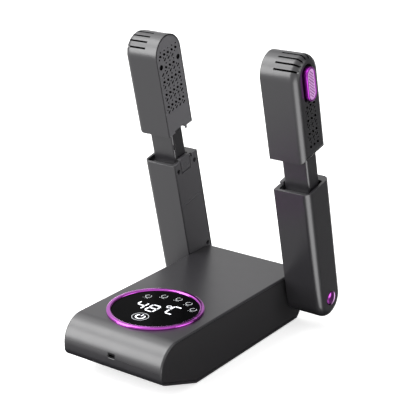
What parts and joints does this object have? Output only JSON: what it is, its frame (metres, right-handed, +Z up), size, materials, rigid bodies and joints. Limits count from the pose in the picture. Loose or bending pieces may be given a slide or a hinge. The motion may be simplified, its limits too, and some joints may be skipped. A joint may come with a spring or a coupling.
{
  "type": "boot dryer",
  "caption": "Folding boot dryer: low base with a round display and telescoping arms whose heads blow warm air through grilles.",
  "frame": {"origin": "on the table, under the middle of the whole object with its arms raised", "axes": "+Z up, -Y towards the nose with the inlet, +X towards the right arm"},
  "size_m": [0.197, 0.2354, 0.2822],
  "materials": {
    "shell_grey": "fine satin moulded ABS, dark grey",
    "panel_grey": "fine satin moulded ABS, darker grey",
    "purple_metal": "anodised magenta, polished",
    "window_black": "high-gloss smoked acrylic",
    "lamp_pink": "translucent pink lens over a fine mesh",
    "rubber_black": "soft moulded rubber",
    "steel": "zinc-plated pressed steel",
    "black_screw": "black oxide",
    "circuit_green": "solder-masked glass-epoxy board",
    "component_dark": "moulded component cases",
    "light_box": "white diffusing plastic",
    "black_nylon": "glass-filled nylon",
    "heater_fins": "thin folded aluminium fins",
    "inlet_black": "moulded nylon with a plated tongue"
  },
  "bodies": {
    "base": {"base_top_shell": "shell_grey", "base_bottom_cover": "panel_grey", "base_side_panel_left": "panel_grey", "base_side_panel_right": "panel_grey", "base_cover_screws": "black_screw", "bracket_screws": "black_screw", "rubber_feet": "rubber_black", "display_bezel": "purple_metal", "display_window": "window_black", "display_board": "circuit_green", "digit_module": "light_box", "icon_lights": "light_box", "board_screws": "black_screw", "control_board": "circuit_green", "control_components": "component_dark", "power_inlet": "inlet_black", "pivot_bracket_left": "steel", "pivot_bracket_right": "steel"},
    "arm_left": {"housing_shell_left": "shell_grey", "housing_cover_left": "panel_grey", "housing_screws_left": "black_screw", "pivot_shaft_left": "steel", "shaft_nut_left": "steel", "friction_washer_left": "black_nylon", "pivot_cap_left": "purple_metal", "neck_guide_left": "black_nylon"},
    "catch_left": {"catch_tab_left": "shell_grey", "catch_spring_left": "steel"},
    "head_left": {"head_shell_left": "shell_grey", "head_cover_left": "panel_grey", "head_screws_left": "black_screw", "neck_tube_left": "shell_grey", "lamp_bezel_left": "purple_metal", "lamp_lens_left": "lamp_pink", "lamp_board_left": "circuit_green", "fan_frame_left": "black_nylon", "heater_left": "heater_fins", "thermal_cutout_left": "component_dark"},
    "rotor_left": {"fan_rotor_left": "black_nylon"},
    "arm_right": {"housing_shell_right": "shell_grey", "housing_cover_right": "panel_grey", "housing_screws_right": "black_screw", "pivot_shaft_right": "steel", "shaft_nut_right": "steel", "friction_washer_right": "black_nylon", "pivot_cap_right": "purple_metal", "neck_guide_right": "black_nylon"},
    "catch_right": {"catch_tab_right": "shell_grey", "catch_spring_right": "steel"},
    "head_right": {"head_shell_right": "shell_grey", "head_cover_right": "panel_grey", "head_screws_right": "black_screw", "neck_tube_right": "shell_grey", "lamp_bezel_right": "purple_metal", "lamp_lens_right": "lamp_pink", "lamp_board_right": "circuit_green", "fan_frame_right": "black_nylon", "heater_right": "heater_fins", "thermal_cutout_right": "component_dark"},
    "rotor_right": {"fan_rotor_right": "black_nylon"}
  },
  "joints": [
    {"name": "arm_fold_left", "type": "hinge", "parent": "base", "child": "arm_left", "pos_m": [-0.0758, 0.0984, 0.0342], "axis": [1, 0, 0], "range_deg": [0, 76.6]},
    {"name": "arm_fold_right", "type": "hinge", "parent": "base", "child": "arm_right", "pos_m": [0.0758, 0.0984, 0.0342], "axis": [1, 0, 0], "range_deg": [0, 76.6]},
    {"name": "head_slide_left", "type": "slide", "parent": "arm_left", "child": "head_left", "axis": [0, -0.2317, 0.9728], "range_m": [-0.0312, 0]},
    {"name": "head_slide_right", "type": "slide", "parent": "arm_right", "child": "head_right", "axis": [0, -0.2317, 0.9728], "range_m": [-0.0312, 0]},
    {"name": "catch_press_left", "type": "slide", "parent": "arm_left", "child": "catch_left", "axis": [-1, 0, 0], "range_m": [0, 0.0012], "stiffness_N_per_m": 1200, "springref_m": -0.0004},
    {"name": "catch_press_right", "type": "slide", "parent": "arm_right", "child": "catch_right", "axis": [1, 0, 0], "range_m": [0, 0.0012], "stiffness_N_per_m": 1200, "springref_m": -0.0004},
    {"name": "fan_spin_left", "type": "hinge", "parent": "head_left", "child": "rotor_left", "pos_m": [-0.0642, 0.05043, 0.23556], "axis": [1, 0, 0], "continuous": true},
    {"name": "fan_spin_right", "type": "hinge", "parent": "head_right", "child": "rotor_right", "pos_m": [0.0642, 0.05043, 0.23556], "axis": [1, 0, 0], "continuous": true}
  ]
}
